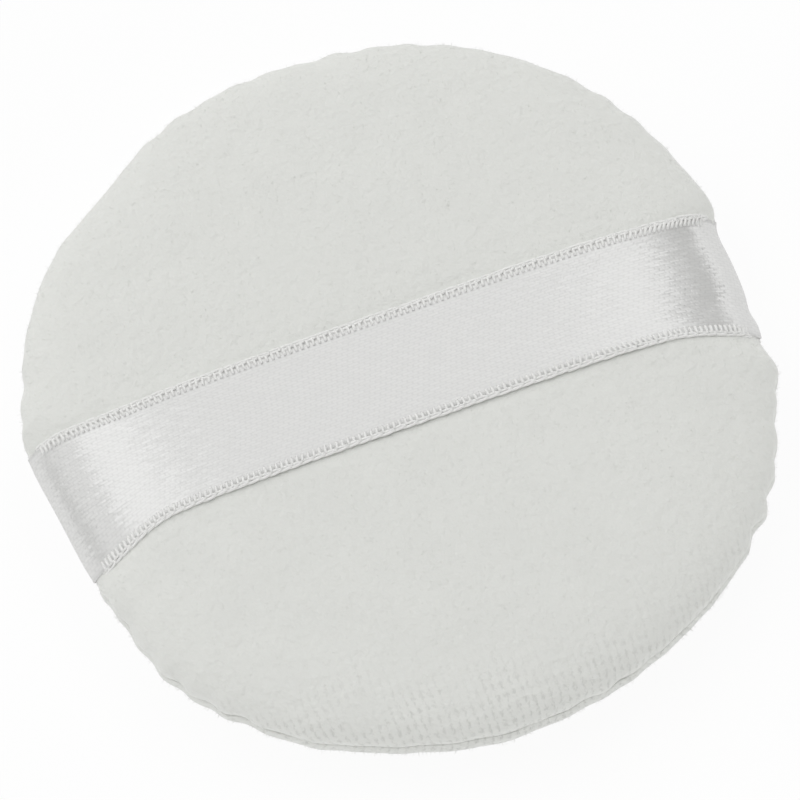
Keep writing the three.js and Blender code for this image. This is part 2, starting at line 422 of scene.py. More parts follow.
def disc_border(cells):
    """The grid's border points in order, from the corner at minus 45 degrees."""
    index = np.arange((cells + 1) ** 2).reshape(cells + 1, cells + 1)
    return np.concatenate([index[-1, :-1], index[::-1, -1][:-1], index[0, ::-1][:-1], index[:-1, 0]])


class Turned:
    """A turned form, built from its middle outwards and back, in cloth distances and angles."""

    def __init__(self, cells):
        self.cells = cells
        self.points, self.faces = [], []
        self.count = 0
        self.ring = None

    def add(self, *place):
        """Points by their radius, height above the seam, angle and distance along the cloth."""
        points = np.column_stack(np.broadcast_arrays(*place))
        self.points.append(points)
        self.count += len(points)
        return np.arange(self.count - len(points), self.count)

    def disc(self, profile, reach, side, outward=1):
        """A square grid laid on the middle of a crown: no point where many faces meet."""
        share, angle = disc_grid(self.cells)
        radius, height = profile.at(share * reach)
        points = self.add(radius, side * height, angle, outward * share * reach)
        border = points[disc_border(self.cells)]
        if outward > 0:
            self.ring = border
        else:
            self.join(border)
        grid = points.reshape(self.cells + 1, self.cells + 1)
        corners = (grid[:-1, :-1], grid[1:, :-1], grid[1:, 1:], grid[:-1, 1:])
        self.faces += faces_of(*corners[::outward])

    def turn(self, radius, rise, distance, narrow=False):
        """One more ring, with half as many points where it may be coarser."""
        number = len(self.ring) // (2 if narrow else 1)
        angle = -math.pi / 4 + circle(number)
        self.join(self.add(radius, rise, angle, distance))

    def join(self, ring):
        near, far = self.ring, ring
        far_next = np.roll(far, -1)
        if len(near) == len(far):
            self.faces += faces_of(near, far, far_next, np.roll(near, -1))
        else:
            first, second, third = near[::2], near[1::2], np.roll(near[::2], -1)
            self.faces += faces_of(first, far, second)
            self.faces += faces_of(second, far, far_next)
            self.faces += faces_of(second, far_next, third)
        self.ring = ring

    def finish(self, name, pad, side, reach, pucker_at=None):
        radius, rise, angle, distance = np.vstack(self.points).T
        pucker = 0
        if pucker_at is not None:
            fade = np.exp(-np.abs(pucker_at - distance) / pad.pucker_reach)
            pucker = pad.pucker * fade * seam_puckers(angle, side)
            pucker = pucker * (1 - under_ribbon(radius, angle, pad))
        points = on_puff(radius, rise, angle, pad, pucker)
        faces = self.faces if side > 0 else [f[::-1] for f in self.faces]
        piece = make_object(name, points, faces)
        # Cloth coordinates: the flat disc that the cover was cut from, its inside seen through
        on_cloth = reach - np.abs(reach - distance)
        cloth = np.column_stack([on_cloth * np.cos(angle), on_cloth * np.sin(angle)])
        set_uv(piece, cloth / (2 * reach) + 0.5)
        return piece


def read(items, name, width=1, kind=float):
    """One value or vector of each item of a mesh, as a table."""
    values = np.empty(len(items) * width, dtype=kind)
    items.foreach_get(name, values)
    return values.reshape(-1, width) if width > 1 else values


def set_uv(piece, places):
    layer = piece.data.uv_layers.new(name="cloth")
    corner = read(piece.data.loops, "vertex_index", kind=np.int64)
    layer.data.foreach_set("uv", places[corner].astype(np.float32).ravel())


COVER_CELLS = 72
CORE_SHARE = 0.45
OUTSIDE_ROWS = 26
RIM_ROWS = 9
FOLD_ROWS = 3
ALLOWANCE_ROWS = 5
EDGE_ROWS = 2
INSIDE_ROWS = 8
INSIDE_POINTS = 18
RIM_BAND = 3.5 * MM


def cover_mesh(name, pad, side, rise, flat_rise):
    """A velour cover: a disc of cloth with its pile outside and its edge turned in at the seam."""
    outer, turned_in, edge, inner = cover_profiles(pad, rise, flat_rise)
    form = Turned(COVER_CELLS)
    core = CORE_SHARE * outer.total
    form.disc(outer, core, side)
    rim = outer.fold_at - RIM_BAND
    rows = np.concatenate([
        steps_after(core, rim, OUTSIDE_ROWS),
        steps_after(rim, outer.fold_at, RIM_ROWS),
        steps_after(outer.fold_at, outer.total, FOLD_ROWS),
    ])
    start = 0
    for profile, steps in (
        (outer, rows),
        (turned_in, steps_after(0, turned_in.total, ALLOWANCE_ROWS)),
        (edge, steps_after(0, edge.total, EDGE_ROWS)),
        (inner, steps_after(0, inner.total, INSIDE_ROWS)[:-1]),
    ):
        for step in steps:
            radius, height = profile.at(step)
            narrow = profile is inner and len(form.ring) > INSIDE_POINTS
            form.turn(radius, side * height, start + step, narrow)
        start += profile.total
    form.faces.append(tuple(form.ring))
    reach = outer.total + turned_in.total
    piece = form.finish(name, pad, side, reach, outer.total)
    subdivide(piece)
    clouds = bpy.data.textures.new("nap", "CLOUDS")
    clouds.noise_scale = pad.nap_size
    nap = piece.modifiers.new("nap", "DISPLACE")
    nap.texture, nap.texture_coords = clouds, "LOCAL"
    nap.strength, nap.mid_level = pad.nap, 0.5
    apply_modifiers(piece)
    return piece, reach


SPONGE_CELLS = 24
SPONGE_ROWS = 16
SPONGE_NOTCH_ROWS = 4


def sponge_mesh(name, pad, stitch):
    """The sponge: it fills both covers, and is notched round the rim for the seam allowances."""
    inset = pad.cloth + pad.clearance
    lip = needle_level(pad, stitch) + stitch.thread / 2 + pad.clearance
    notch = raw_edge_radius(pad) - stitch.thread - 2 * pad.clearance
    form = Turned(SPONGE_CELLS)
    halves = []
    for rise, flat in ((UPPER_RISE, UPPER_RISE), (pad.lower_drop, SEAM_HEIGHT)):
        arc = pillow_arc(pad.radius - inset, rise - inset, flat - inset, lip, pad.power)
        halves.append(Profile(arc))
    top, bottom = halves
    core = CORE_SHARE * top.total
    rows = [(*top.at(step), step) for step in steps_after(core, top.total, SPONGE_ROWS)]
    brim = rows[-1][0]
    rows += [(step, lip, top.total) for step in steps_after(brim, notch, SPONGE_NOTCH_ROWS)]
    rows += [(notch, step, top.total) for step in steps_after(lip, -lip, SPONGE_NOTCH_ROWS)]
    rows += [(step, -lip, top.total) for step in steps_after(notch, brim, SPONGE_NOTCH_ROWS)]
    for step in steps_after(bottom.total, core, SPONGE_ROWS)[:-1]:
        radius, height = bottom.at(step)
        rows.append((radius, -height, step))
    form.disc(top, core, 1)
    for row in rows:
        form.turn(*row)
    form.disc(bottom, core, -1, outward=-1)
    piece = form.finish(name, pad, 1, 2 * top.total)
    subdivide(piece)
    apply_modifiers(piece)
    return piece


LEAST_STEP = 1e-9
# Decimals of a length in metres: points as near as this lie on the same line along the ribbon
MICROMETRES = 6


class RibbonPath:
    """The ribbon's middle surface, read by distance along it, place across it and height above it."""

    def __init__(self, ribbon, pad):
        self.ribbon = ribbon
        self.pad = pad
        self.reach = pad.radius + ribbon.stand_off
        arc = ribbon_arc(ribbon, pad)
        side = np.vstack([arc, [[raw_edge_radius(pad) + ribbon.tail, 0.0]]])
        self.line = np.vstack([side[::-1] * (-1, 1), side[1:]])
        self.lengths = arc_lengths(self.rail(0.0))
        self.total = self.lengths[-1]

    def rail(self, across):
        """A line along the ribbon at a distance across it."""
        ribbon, pad = self.ribbon, self.pad
        radius, height = np.abs(self.line[:, 0]), self.line[:, 1]
        follows = follows_rim(radius, ribbon, pad)
        flare = flared(self.line[:, 0] > 0, across > 0)
        across = across * (1 + flare * follows / (ribbon.width / 2))
        turn = np.arcsin(across / np.maximum(radius, ribbon.width))
        angle = np.where(self.line[:, 0] > 0, turn, math.pi - turn)
        out = radius * (1 - along_rim(RIM_DENTS, angle, pad) / self.reach)
        round_rim = np.sqrt(np.maximum(out**2 - across**2, 0))
        x = out + (round_rim - out) * follows
        share = radius / pad.radius
        z = SEAM_HEIGHT + height + along_rim(SEAM_RISES, angle, pad) * share**SEAM_POWER
        return np.column_stack([np.sign(self.line[:, 0]) * x, across, z])

    def place(self, distance, across, above):
        """Points at some distances along the ribbon, across it and above it."""
        across = np.broadcast_to(across, np.shape(distance))
        above = np.broadcast_to(above, np.shape(distance))
        result = np.empty((len(distance), 3))
        # No two lengths may be equal where the slope is taken
        lengths = self.lengths + LEAST_STEP * np.arange(len(self.lengths))
        for value in np.unique(np.round(across, MICROMETRES)):
            own = np.isclose(across, value, atol=10**-MICROMETRES)
            rail = self.rail(value)
            along = unit(np.gradient(rail, lengths, axis=0))
            x, y, z = along_line(distance[own], self.lengths, rail)
            ahead, _, upward = along_line(distance[own], self.lengths, along)
            result[own] = np.column_stack([x - above[own] * upward, y, z + above[own] * ahead])
        return result


RIBBON_STATIONS = 320
RIBBON_COLUMNS = 22
UNDER_SELVEDGE = 0.45


def ribbon_mesh(name, path, ribbon):
    """The woven strip between the selvedges."""
    half = ribbon.width / 2 - ribbon.selvedge * UNDER_SELVEDGE
    columns = np.linspace(-half, half, RIBBON_COLUMNS)
    size = 2 * RIBBON_COLUMNS
    distance = np.repeat(np.linspace(0, path.total, RIBBON_STATIONS), size)
    across = np.tile(np.append(columns, columns[::-1]), RIBBON_STATIONS)
    above = np.tile(np.repeat([0.5, -0.5], RIBBON_COLUMNS) * ribbon.thickness, RIBBON_STATIONS)
    points = path.place(distance, across, above)
    index = np.arange(len(points)).reshape(RIBBON_STATIONS, size)
    following = np.roll(index, -1, axis=1)
    faces = faces_of(index[:-1], index[1:], following[1:], following[:-1])
    for row, turn in ((index[0], 1), (index[-1], -1)):
        top, bottom = row[:RIBBON_COLUMNS], row[RIBBON_COLUMNS:][::-1]
        faces += faces_of(*(top[:-1], top[1:], bottom[1:], bottom[:-1])[::turn])
    piece = make_object(name, points, faces)
    set_uv(piece, np.column_stack([distance / path.total, across / ribbon.width + 0.5]))
    return piece


# A line steeper than this has its sides laid out from the X axis: share of its length
NEARLY_UPRIGHT = 0.1


def tube(points, radius, sides, closed=False):
    """Points and faces of a tube along a line."""
    ahead = np.roll(points, -1, axis=0)
    behind = np.roll(points, 1, axis=0)
    if not closed:
        ahead[-1], behind[0] = points[-1], points[0]
    along = unit(ahead - behind)
    side = np.cross(along, (0.0, 0.0, 1.0))
    upright = np.linalg.norm(side, axis=1) < NEARLY_UPRIGHT
    side[upright] = np.cross(along[upright], (1.0, 0.0, 0.0))
    side = unit(side)
    other = np.cross(side, along)
    for i in range(1, len(points)):
        if np.dot(side[i], side[i - 1]) < 0:
            side[i], other[i] = -side[i], -other[i]
    places = (points[:, None] + rings(side, other, sides) * radius).reshape(-1, 3)
    index = np.arange(len(places)).reshape(len(points), sides)
    far = np.roll(index, -1, axis=0) if closed else index[1:]
    near = index if closed else index[:-1]
    faces = faces_of(near, np.roll(near, -1, axis=1), np.roll(far, -1, axis=1), far)
    if not closed:
        faces += [tuple(index[0][::-1]), tuple(index[-1])]
    return places, faces


def join_parts(name, parts):
    """One piece from many separate closed parts."""
    points, faces, count = [], [], 0
    for part_points, part_faces in parts:
        points.append(part_points)
        faces += [tuple(i + count for i in face) for face in part_faces]
        count += len(part_points)
    return make_object(name, np.vstack(points), faces)


# Weft loops: faces, steps, height above the satin, and how far they arch above that
LEG_SIDES = 6
LEG_STEPS = 4
LEG_HEIGHT = 0.09 * MM
LEG_ARCH = 0.06 * MM
# Chain loops: faces, steps, length, height above the satin, lean, and how uneven they are
LOOP_SIDES = 6
LOOP_STEPS = 14
LOOP_LENGTH_SHARE = 0.62
LOOP_HEIGHT = 0.07 * MM
LOOP_LEAN = 0.09 * MM
UNEVEN_HEIGHT = 0.01 * MM
UNEVEN_PLACE = 0.02 * MM
UNEVEN_WIDTH_SHARES = (0.85, 1.15)
UNEVEN_LENGTH_SHARES = (0.95, 1.05)
# Share of a pick by which the weft loops show between the satin and the chain
LEG_SHOWN_SHARE = 0.6
# How far the selvedges sink into the pile at the rim, and where on the way from the middle
# of the ribbon to its ends that starts and is complete
EDGE_SINK = 0.38 * MM
EDGE_SINK_SHARES = (0.79, 0.87)


def selvedge_mesh(name, path, ribbon, sign, seed):
    """Weft loops that leave the satin, caught by a chain of loops along the ribbon's edge."""
    random = np.random.default_rng(SEED + seed)
    outer = ribbon.width / 2
    loop_half = (ribbon.selvedge - ribbon.pick * LEG_SHOWN_SHARE - ribbon.yarn) / 2
    chain_middle = outer - ribbon.yarn / 2 - loop_half
    parts = []

    def sink(distance):
        return EDGE_SINK * smoothstep(np.abs(2 * distance / path.total - 1), *EDGE_SINK_SHARES)

    share = np.linspace(0, 1, LEG_STEPS)
    start = outer - ribbon.selvedge - ribbon.yarn / 2
    across = start + (chain_middle - start) * share
    for at in np.arange(ribbon.pick / 2, path.total, ribbon.pick):
        arched = LEG_HEIGHT + LEG_ARCH * np.sin(math.pi * share)
        above = arched + random.normal(0, UNEVEN_HEIGHT) - sink(at)
        line = path.place(at + 0 * share, sign * across, above)
        parts.append(tube(line, ribbon.yarn / 2, LEG_SIDES))
    turns = circle(LOOP_STEPS)
    for at in np.arange(ribbon.pick, path.total - ribbon.pick, 2 * ribbon.pick):
        wide = loop_half * random.uniform(*UNEVEN_WIDTH_SHARES)
        long = 2 * ribbon.pick * LOOP_LENGTH_SHARE * random.uniform(*UNEVEN_LENGTH_SHARES)
        distance = at + random.normal(0, UNEVEN_PLACE) + long * np.cos(turns)
        across = chain_middle + wide * np.sin(turns) + random.normal(0, UNEVEN_PLACE)
        above = LOOP_HEIGHT + LOOP_LEAN * np.cos(turns) - sink(at)
        line = path.place(np.clip(distance, 0, path.total), sign * across, above)
        parts.append(tube(line, ribbon.yarn / 2, LOOP_SIDES, closed=True))
    return join_parts(name, parts)


# Seam threads


def raw_edge_radius(pad):
    """Radius of the cut edges of the two covers, turned in between them."""
    return cover_profiles(pad, UPPER_RISE, UPPER_RISE)[2].points[0, 0]


def looper_level(pad, stitch):
    """Height of the looper threads above the seam plane, on top of the allowance."""
    return pad.seam_gap + pad.cloth + stitch.thread


def needle_level(pad, stitch):
    return looper_level(pad, stitch) + 1.5 * stitch.thread


CORNER_CUTS = 2
CORNER_CUT_SHARE = 0.25


def thread_line(places, pad):
    """A line through places on the puff, its corners cut until they are round."""
    radius, rise, angle = np.array(places).T
    points = on_puff(radius, rise, angle, pad)
    for _ in range(CORNER_CUTS):
        near, far = points[:-1], points[1:]
        after = near * (1 - CORNER_CUT_SHARE) + far * CORNER_CUT_SHARE
        before = near * CORNER_CUT_SHARE + far * (1 - CORNER_CUT_SHARE)
        cut = np.stack([after, before], axis=1).reshape(-1, 3)
        points = np.vstack([points[:1], cut, points[-1:]])
    return points


# A running stitch: share of the pitch past its hole, and height as a share of the level
RUNNING_ROUTE = ((-0.12, 1), (0, 0.8), (0, -0.8), (0.12, -1))
RUNNING_END_SHARE = 0.2
# A looper stitch: share of the pitch, and the spot that the thread is at
LOOPER_ROUTE = (
    (0.02, "needle row"), (0.38, "edge"), (0.42, "round"), (0.58, "round"), (0.62, "edge"),
    (0.98, "needle row"),
)


def running_stitch(first, count, level, stitch, pad):
    """A thread in and out of a run of needle holes, over and under the allowances by turns."""
    pitch = TURN / stitch.count
    needle = raw_edge_radius(pad) + stitch.needle_inset
    places = [(needle, level, (first + RUNNING_END_SHARE) * pitch)]
    for i in range(count):
        angle = (first + i + 0.5) * pitch
        side = 1 if i % 2 == 0 else -1
        for shift, height in RUNNING_ROUTE:
            places.append((needle, side * level * height, angle + shift * pitch))
    side = 1 if count % 2 == 0 else -1
    places.append((needle, side * level, (first + count - RUNNING_END_SHARE) * pitch))
    return thread_line(places, pad)


def looper_stitch(first, count, side, stitch, pad):
    """A looper thread on one face of the allowances, turned over the raw edge at each stitch."""
    pitch = TURN / stitch.count
    raw_edge = raw_edge_radius(pad)
    edge = raw_edge - stitch.thread
    level = side * looper_level(pad, stitch)
    spots = {
        "needle row": (raw_edge + stitch.needle_inset + stitch.thread, level),
        "edge": (edge, level),
        "round": (edge - stitch.thread, side * stitch.thread),
    }
    places = [
        (*spots[spot], (first + i + share) * pitch)
        for i in range(count) for share, spot in LOOPER_ROUTE
    ]
    return thread_line(places, pad)


PLY_SIDES = 5
PLY_TURN = 1.6 * MM
PLY_TURN_STEPS = 6
# A direction that no thread runs in
ASIDE = (0.3, 0.2, 0.93)


def plied_thread(name, line, thickness):
    """Two plies twisted round each other along a line."""
    lengths = arc_lengths(line)
    steps = np.linspace(0, lengths[-1], int(lengths[-1] / (PLY_TURN / PLY_TURN_STEPS)))
    line = np.column_stack(along_line(steps, lengths, line))
    along = unit(np.gradient(line, axis=0))
    side = unit(np.cross(along, ASIDE))
    other = np.cross(side, along)
    turn = TURN * steps / PLY_TURN
    offset = (side * np.cos(turn)[:, None] + other * np.sin(turn)[:, None]) * thickness / 4
    plies = [tube(line + sign * offset, thickness / 4, PLY_SIDES) for sign in (1, -1)]
    return join_parts(name, plies)


# Loose pile

FIBRE_SIDES = 3
FIBRE_MARGIN = 0.3 * MM
FIBRE_ROOT = 0.1 * MM
SHORTEST_FIBRE_SHARE = 0.5
# How far a fibre leans and bends, its length up to the bend and past it, and how thin it gets
FIBRE_LEAN = 0.5
FIBRE_BEND = 0.35
BELOW_BEND_SHARE = 0.6
ABOVE_BEND_SHARE = 0.5
TAPER_SHARE = 0.8
FIBRE_ASIDE = (0.31, 0.52, 0.79)


def fibres_mesh(name, cover, reach, pad, cloth, seed):
    """Fibres of the pile that stand proud of the velour, each a thin bent spike."""
    random = np.random.default_rng(SEED + seed)
    count = cloth.fibres
    mesh = cover.data
    middles = read(mesh.polygons, "center", 3)
    normals = read(mesh.polygons, "normal", 3)
    starts = read(mesh.polygons, "loop_start", kind=np.int64)
    uv = read(mesh.uv_layers["cloth"].data, "uv", 2)[starts]
    from_middle = np.linalg.norm((uv - 0.5) * 2 * reach, axis=1)
    outward = (normals * (middles - np.array([0, 0, SEAM_HEIGHT]))).sum(axis=1) > 0
    on_crown = from_middle < reach - pad.allowance - FIBRE_MARGIN
    # Where the puff rests, the pile is pressed flat
    standing = middles[:, 2] > cloth.fibre
    chance = read(mesh.polygons, "area") * outward * on_crown * standing
    picked = random.choice(len(mesh.polygons), count, p=chance / chance.sum())
    root, up = middles[picked], normals[picked]
    length = cloth.fibre * random.uniform(SHORTEST_FIBRE_SHARE, 1, count)
    tip = unit(up + random.normal(0, FIBRE_LEAN, (count, 3)))
    bend = unit(tip + random.normal(0, FIBRE_BEND, (count, 3)))
    root = root - up * FIBRE_ROOT
    middle = root + tip * (length * BELOW_BEND_SHARE)[:, None]
    end = middle + bend * (length * ABOVE_BEND_SHARE)[:, None]
    side = unit(np.cross(tip, FIBRE_ASIDE))
    ring = rings(side, np.cross(side, tip), FIBRE_SIDES) * cloth.fibre_width / 2
    bent = middle[:, None] + ring * TAPER_SHARE
    places = np.concatenate([root[:, None] + ring, bent, end[:, None]], axis=1)
    size = 2 * FIBRE_SIDES + 1
    template = [tuple(range(FIBRE_SIDES))[::-1]]
    for i in range(FIBRE_SIDES):
        j = (i + 1) % FIBRE_SIDES
        template.append((i, j, FIBRE_SIDES + j, FIBRE_SIDES + i))
        template.append((FIBRE_SIDES + i, FIBRE_SIDES + j, 2 * FIBRE_SIDES))
    faces = [tuple(i + k * size for i in face) for k in range(count) for face in template]
    return make_object(name, places.reshape(-1, 3), faces)


# Materials


def add_node(tree, kind, inputs=None, **settings):
    """Add a node with its options, its inputs set or linked to a socket or a node's first output."""
    node = tree.nodes.new("ShaderNode" + kind)
    for name, value in settings.items():
        setattr(node, name, value)
    for name, value in (inputs or {}).items():
        if isinstance(value, bpy.types.Node):
            value = next(socket for socket in value.outputs if socket.enabled)
        if isinstance(value, bpy.types.NodeSocket):
            tree.links.new(value, node.inputs[name])
        else:
            node.inputs[name].default_value = value
    return node


def node_adder(holder):
    """For the emptied node tree of a new material or world, the function that adds a node to it."""
    holder.use_nodes = True
    holder.node_tree.nodes.clear()
    return partial(add_node, holder.node_tree)


def new_material(name, shader, *values):
    """A material from the function that adds its nodes and returns the last of them."""
    material = bpy.data.materials.new(name)
    add = node_adder(material)
    add("OutputMaterial", {"Surface": shader(add, *values)})
    return material


def shaded(base, share=1):
    """A colour made darker or lighter by a share, with its alpha."""
    return (*[min(1, c * share) for c in base], 1)


# Width of the faint lighter and darker patches that brushing leaves in the pile
BRUSHED_PATCH = 5 * MM
# Painted shade at the bottom of a gap in the pile, where the knit lies in shadow
GAP_SHADOW_COLOUR = (0.3, 0.3, 0.28, 1)


def velour_nodes(add, reach):
    """Knitted cotton velour: a dense short pile that hides the knit, which opens at the rim."""
    sizes, base = bpy.context.scene.puff_cloth, bpy.context.scene.puff_colours.velour
    uv = add("UVMap", uv_map="cloth")
    # The cloth's own coordinates in metres from the middle of the disc
    cloth = add(
        "VectorMath", {0: uv, 1: (2 * reach, 2 * reach, 0), 2: (-reach, -reach, 0)},
        operation="MULTIPLY_ADD",
    )
    place = add("TexCoord").outputs["Object"]
    clumps = add("TexNoise", {"Vector": place, "Scale": 1 / sizes.pile, "Detail": 3, "Roughness": 0.5})
    brushed = add(
        "TexNoise", {"Vector": place, "Scale": 1 / BRUSHED_PATCH, "Detail": 2, "Roughness": 0.5}
    )
    # The gaps of the knit: upright dashes, on an uneven grid in line with the ribbon
    uneven = add("TexNoise", {"Vector": cloth, "Scale": 1 / (3 * sizes.wale), "Detail": 1})
    shift = add("VectorMath", {0: uneven.outputs["Color"], "Scale": 0.7 * TURN}, operation="SCALE")
    knit_place = add(
        "VectorMath", {0: cloth, 1: (TURN / sizes.wale, TURN / sizes.course, 0), 2: shift},
        operation="MULTIPLY_ADD",
    )
    waves_across = add("VectorMath", {0: knit_place}, operation="COSINE")
    grid = add("VectorMath", {0: waves_across, 1: (0.3, 0.16, 0)}, operation="DOT_PRODUCT")
    tuft_place = add(
        "VectorMath", {0: cloth, 1: (2.2 / sizes.wale, 2.2 / sizes.course, 0)},
        operation="MULTIPLY",
    )
    tufts = add("TexNoise", {"Vector": tuft_place, "Scale": 1.5, "Detail": 2, "Roughness": 0.6})
    between = add("Math", {0: tufts, 1: 2.2, 2: grid}, operation="MULTIPLY_ADD")
    gap = add(
        "MapRange", {"Value": between, "From Min": 1.1, "From Max": 1.75},
        interpolation_type="SMOOTHSTEP",
    )
    # They show towards the rim, most on its near side, with their painted shade
    toward_rim = add("VectorMath", {0: cloth}, operation="LENGTH")
    toward_near = add("VectorMath", {0: cloth, 1: (-0.03, -1, 0)}, operation="DOT_PRODUCT")
    near = add("Math", {0: toward_rim, 1: toward_near}, operation="ADD")
    worn = add("Math", {0: brushed, 1: 0.36}, operation="MULTIPLY")
    patches = add("Math", {0: near, 1: 0.5 / reach, 2: worn}, operation="MULTIPLY_ADD")
    rim = add(
        "MapRange", {"Value": patches, "From Min": 0.83, "From Max": 1.02, "To Min": 0.03},
        interpolation_type="SMOOTHSTEP",
    )
    open_gap = add("Math", {0: gap, 1: rim}, operation="MULTIPLY")
    shade = add(
        "Mix", {"Factor": brushed, "A": shaded(base, 0.975), "B": shaded(base, 1.025)},
        data_type="RGBA",
    )
    # Painted shade darkens the gaps, where the knit lies in the pile's shadow
    gap_shade = add("Math", {0: open_gap, 1: 0.24}, operation="MULTIPLY")
    tone = add("Mix", {"Factor": gap_shade, "A": shade, "B": GAP_SHADOW_COLOUR}, data_type="RGBA")
    knit_bump = add("Bump", {"Strength": 0.3, "Distance": 0.1 * MM, "Height": open_gap}, invert=True)
    pile_bump = add(
        "Bump",
        {"Strength": 0.75, "Distance": 0.32 * MM, "Height": clumps, "Normal": knit_bump},
    )
    return add(
        "BsdfPrincipled",
        {"Base Color": tone, "Roughness": 1.0, "Specular IOR Level": 0.1, "Sheen Weight": 0.6,
         "Sheen Roughness": 0.35, "Normal": pile_bump},
    )


def fibre_nodes(add):
    """Single cotton fibres: matt and off-white."""
    base = shaded(bpy.context.scene.puff_colours.velour)
    return add("BsdfPrincipled", {"Base Color": base, "Roughness": 1.0, "Specular IOR Level": 0.1})


def satin_nodes(add, ribbon_length, width):
    """Warp-faced polyester satin: long floats along the ribbon, so its gloss lies across it."""
    sizes, base = bpy.context.scene.puff_cloth, bpy.context.scene.puff_colours.satin
    uv = add("UVMap", uv_map="cloth")
    # In floats along the ribbon and warp yarns across it
    cloth = add(
        "VectorMath", {0: uv, 1: (ribbon_length / sizes.satin_float, width / sizes.warp, 0)},
        operation="MULTIPLY",
    )
    parts = add("SeparateXYZ", {0: cloth})
    warp_yarn = add("Math", {0: parts.outputs["Y"]}, operation="FLOOR")
    # A five-end satin: each yarn's crossings lie two fifths of a float after its neighbour's
    start = add("Math", {0: warp_yarn, 1: 0.4, 2: parts.outputs["X"]}, operation="MULTIPLY_ADD")
    woven = add("CombineXYZ", {"X": start, "Y": parts.outputs["Y"]})
    # Floats lighter or darker at random, with painted shade in the grooves between the yarns and at
    # the floats' ends
    floats = add(
        "TexBrick",
        {"Vector": woven, "Color1": (0.9, 0.9, 0.9, 1), "Color2": (1, 1, 1, 1),
         "Mortar": (0.72, 0.72, 0.72, 1), "Scale": 1, "Mortar Size": 0.16, "Mortar Smooth": 1,
         "Bias": 0, "Brick Width": 1, "Row Height": 1},
        offset=0, squash=1,
    )
    float_tone_and_groove_shade = add(
        "Mix", {"Factor": 0.4, "A": shaded(base), "B": floats},
        data_type="RGBA", blend_type="MULTIPLY",
    )
    weave = add(
        "Bump", {"Strength": 0.3, "Distance": 0.03 * MM, "Height": floats.outputs["Fac"]},
        invert=True,
    )
    # Each float bows a little, so neighbours catch the light at slightly different places
    along_yarns = add("VectorMath", {0: cloth, 1: (0.7, 1, 0)}, operation="MULTIPLY")
    waviness = add("TexNoise", {"Vector": along_yarns, "Scale": 0.9, "Detail": 2, "Roughness": 0.8})
    lean = add("MapRange", {"Value": waviness, "To Min": -0.25, "To Max": 0.25})
    tangent = add("Tangent", direction_type="UV_MAP", uv_map="cloth")
    leaning = add("VectorMath", {0: tangent, 1: lean, 2: weave}, operation="MULTIPLY_ADD")
    normal = add("VectorMath", {0: leaning}, operation="NORMALIZE")
    return add(
        "BsdfPrincipled",
        {"Base Color": float_tone_and_groove_shade, "Roughness": 0.3, "IOR": 2.0, "Specular IOR Level": 1.0,
         "Anisotropic": 0.92, "Anisotropic Rotation": 0.25, "Normal": normal, "Tangent": tangent},
    )


def yarn_nodes(add, base, roughness):
    """Spun or textured polyester yarn: white, slightly glossy, with its twist as fine ridges."""
    place = add("TexCoord").outputs["Object"]
    fibres = add("TexNoise", {"Vector": place, "Scale": 1 / (0.12 * MM), "Detail": 2})
    twist = add("Bump", {"Strength": 0.4, "Distance": 0.03 * MM, "Height": fibres})
    # The yarn is darker where its twist dips: painted shade in the hollows between the ridges
    tone = add("Mix", {"Factor": fibres, "A": shaded(base, 0.92), "B": shaded(base)}, data_type="RGBA")
    return add(
        "BsdfPrincipled",
        {"Base Color": tone, "Roughness": roughness, "Specular IOR Level": 0.4, "Normal": twist},
    )


def foam_nodes(add):
    """Open-cell polyurethane foam: a matt cream skin full of small pores."""
    base = bpy.context.scene.puff_colours.sponge
    place = add("TexCoord").outputs["Object"]
    cells = add("TexVoronoi", {"Vector": place, "Scale": 1 / (0.6 * MM)})
    pores = add("MapRange", {"Value": cells, "From Min": 0.1, "From Max": 0.5})
    # The pores are darkened with painted shade, as their insides lie in shadow
    tone = add("Mix", {"Factor": pores, "A": shaded(base, 0.6), "B": shaded(base)}, data_type="RGBA")
    walls = add("Bump", {"Strength": 0.6, "Distance": 0.3 * MM, "Height": pores})
    return add(
        "BsdfPrincipled",
        {"Base Color": tone, "Roughness": 0.95, "Specular IOR Level": 0.2, "Normal": walls},
    )


def floor_nodes(add):
    """Pale floor lit from inside as well, like a light table, so the rim gets light from below."""
    matt = add("BsdfDiffuse", {"Color": shaded(bpy.context.scene.puff_colours.floor)})
    glow = add("Emission", {"Color": (1, 1, 1, 1), "Strength": 1})
    return add("MixShader", {0: FLOOR_GLOW_SHARE, 1: matt, 2: glow})


# Stage and camera

CAMERA_AZIMUTH = math.radians(-15.8)
CAMERA_ELEVATION = math.radians(66.5)
CAMERA_ROLL = math.radians(4.8)
CAMERA_DISTANCE = 0.9
CLIP_RANGE = (0.01, 20)
SENSOR_WIDTH = 36.0
FRAME_PIXELS = 800
PIXELS_PER_METRE = 10130
AIM = Vector((0, 0, 7 * MM))
AIM_PIXEL = (401.3, 390.9)
FLOOR_SIZE = 6.0
FLOOR_GLOW_SHARE = 0.9
# Light of the studio: from above and behind, from above and before, from the walls, from the
# wall before, and from where the floor sweeps up into the walls
FAR_SKY_LIGHT = 1.18
NEAR_SKY_LIGHT = 0.1
HORIZON_LIGHT = 0.04
NEAR_HORIZON_LIGHT = 1.3
SWEEP_LIGHT = 1.7
# Heights, from 0 level to 1 upright, over which the sweep gives way to the wall, and that to the sky
SWEEP_HEIGHTS = (-0.02, 0.14)
SKY_HEIGHTS = (0.26, 0.54)
# Direction from the puff, distance, width, length and power of each soft light
LIGHTS = {
    "overhead_light": ((-0.05, 0.4, 0.9), 1.3, 0.8, 1.2, 1.35),
    "left_strip_light": ((-0.5, 0.3, 0.78), 1.0, 0.5, 1.5, 1.9),
    "left_fill_light": ((-0.9, 0.1, 0.3), 1.0, 0.4, 1.2, 0.6),
    "right_strip_light": ((0.48, 0.36, 0.8), 1.0, 0.45, 1.5, 1.8),
}


